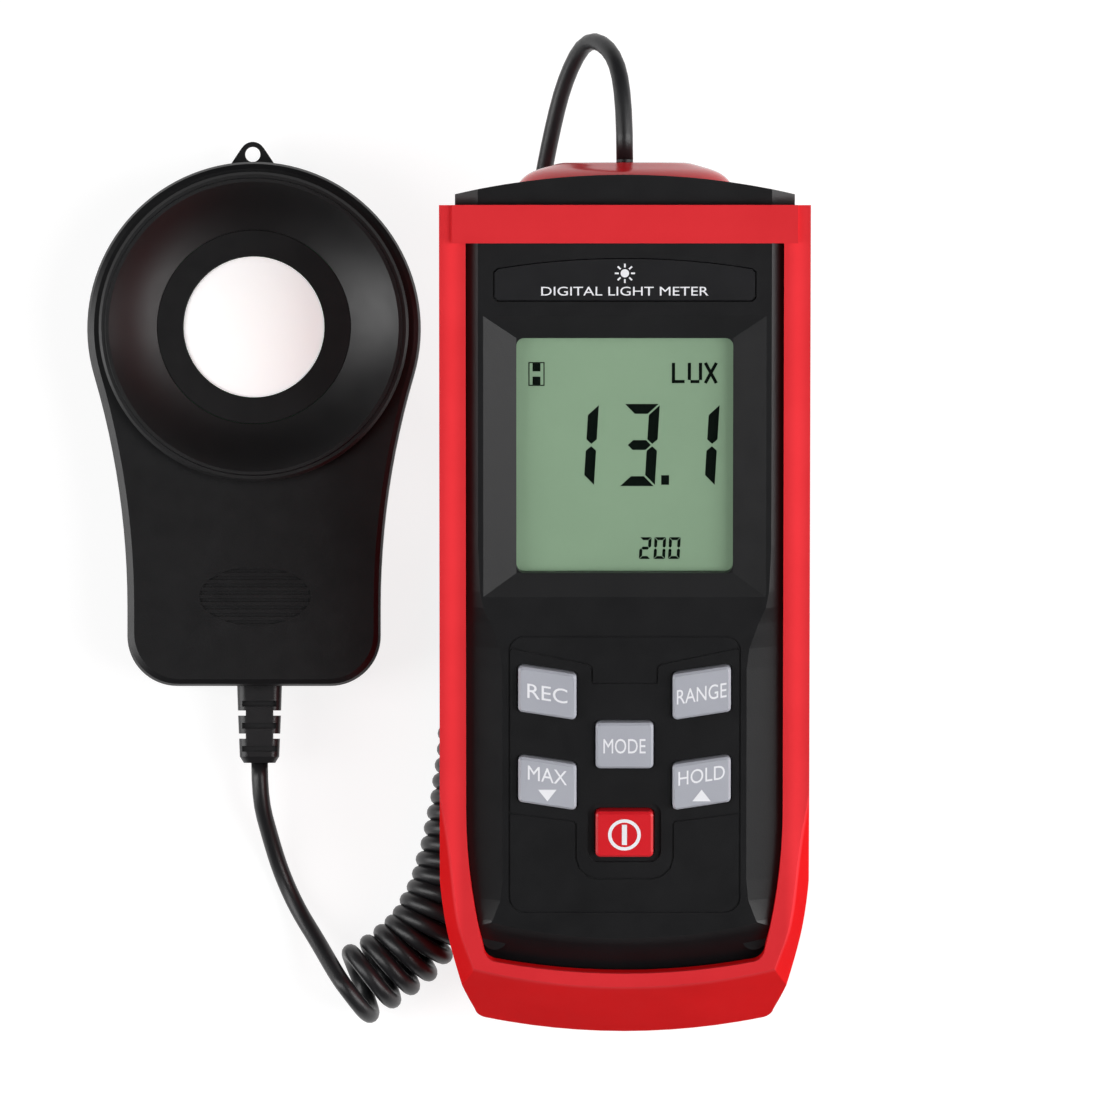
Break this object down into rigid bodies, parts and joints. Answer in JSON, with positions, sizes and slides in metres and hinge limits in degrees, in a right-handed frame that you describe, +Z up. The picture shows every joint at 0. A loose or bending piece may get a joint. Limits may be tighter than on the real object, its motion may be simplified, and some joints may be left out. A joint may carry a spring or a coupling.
{
  "type": "light meter",
  "caption": "Handheld digital light meter in a rubber holster, propped on its tilt stand, with a paddle sensor probe on a curly cord.",
  "frame": {"origin": "on the table, at the centre of the footprint of the meter and the probe as they stand, without the cord", "axes": "+Z up, +Y from the meter's foot towards its top end and the cord's exit, +X to the right of someone reading the display"},
  "size_m": [0.1372, 0.1903, 0.0822],
  "materials": {
    "red_rubber": "matt moulded rubber",
    "black_case": "fine spark texture",
    "label_plate": "satin film",
    "clear_window": "clear",
    "lcd_glass": "grey-green display",
    "white_plastic": "moulded",
    "zebra_rubber": "striped",
    "circuit_board": "solder mask",
    "chip_epoxy": "moulded epoxy",
    "contact_metal": "bright",
    "battery_can": "painted",
    "black_plastic": "fine texture",
    "wire_red": "smooth",
    "screw_steel": "zinc plated",
    "red_gloss": "glossy",
    "cord_rubber": "satin",
    "grey_key": "satin",
    "red_key": "satin",
    "probe_plastic": "fine spark texture",
    "probe_satin": "satin",
    "diffuser_white": "translucent",
    "filter_glass": "green filter"
  },
  "bodies": {
    "meter": {"holster": "red_rubber", "front_case": "black_case", "rear_case": "black_case", "label_plate": "label_plate", "lcd_window": "clear_window", "lcd_panel": "lcd_glass", "lcd_frame": "white_plastic", "zebra_strips": "zebra_rubber", "main_board": "circuit_board", "main_chip": "chip_epoxy", "dome_contacts": "contact_metal", "battery": "battery_can", "battery_snap": "black_plastic", "battery_leads": "wire_red", "case_screws": "screw_steel", "board_screws": "screw_steel", "cord_cap": "red_gloss", "cord_bushing": "cord_rubber", "cord_tail": "cord_rubber", "stand_pin": "screw_steel", "cord_lead_meter": "cord_rubber", "cord_coil": "cord_rubber", "cord_lead_probe": "cord_rubber"},
    "stand": {"tilt_stand": "black_plastic"},
    "door": {"battery_door": "black_plastic"},
    "record_key": {"key_record": "grey_key"},
    "range_key": {"key_range": "grey_key"},
    "mode_key": {"key_mode": "grey_key"},
    "max_key": {"key_max": "grey_key"},
    "hold_key": {"key_hold": "grey_key"},
    "power_key": {"key_power": "red_key"},
    "probe": {"probe_rear_shell": "probe_plastic", "probe_front_shell": "probe_plastic", "dish_collar": "probe_satin", "sensor_bezel": "probe_plastic", "diffuser": "diffuser_white", "optical_filter": "filter_glass", "photodiode": "chip_epoxy", "probe_board": "circuit_board", "probe_screws": "screw_steel", "probe_boot": "cord_rubber", "probe_cord_tail": "cord_rubber"}
  },
  "joints": [
    {"name": "stand_fold", "type": "hinge", "parent": "meter", "child": "stand", "pos_m": [0.0336, 0.02766, 0.0356], "axis": [1, 0, 0], "range_deg": [-85, 0]},
    {"name": "door_slide", "type": "slide", "parent": "meter", "child": "door", "axis": [0, -0.9563, -0.2924], "range_m": [0, 0.0055]},
    {"name": "record_press", "type": "slide", "parent": "meter", "child": "record_key", "axis": [0, 0.2924, -0.9563], "range_m": [0, 0.0008], "stiffness_N_per_m": 300},
    {"name": "range_press", "type": "slide", "parent": "meter", "child": "range_key", "axis": [0, 0.2924, -0.9563], "range_m": [0, 0.0008], "stiffness_N_per_m": 300},
    {"name": "mode_press", "type": "slide", "parent": "meter", "child": "mode_key", "axis": [0, 0.2924, -0.9563], "range_m": [0, 0.0008], "stiffness_N_per_m": 300},
    {"name": "max_press", "type": "slide", "parent": "meter", "child": "max_key", "axis": [0, 0.2924, -0.9563], "range_m": [0, 0.0008], "stiffness_N_per_m": 300},
    {"name": "hold_press", "type": "slide", "parent": "meter", "child": "hold_key", "axis": [0, 0.2924, -0.9563], "range_m": [0, 0.0008], "stiffness_N_per_m": 300},
    {"name": "power_press", "type": "slide", "parent": "meter", "child": "power_key", "axis": [0, 0.2924, -0.9563], "range_m": [0, 0.0008], "stiffness_N_per_m": 300},
    {"name": "probe_draw", "type": "slide", "parent": "meter", "child": "probe", "axis": [-1, 0, 0], "range_m": [0, 0.2], "stiffness_N_per_m": 5, "deforming": ["cord_coil", "cord_lead_probe"]}
  ]
}
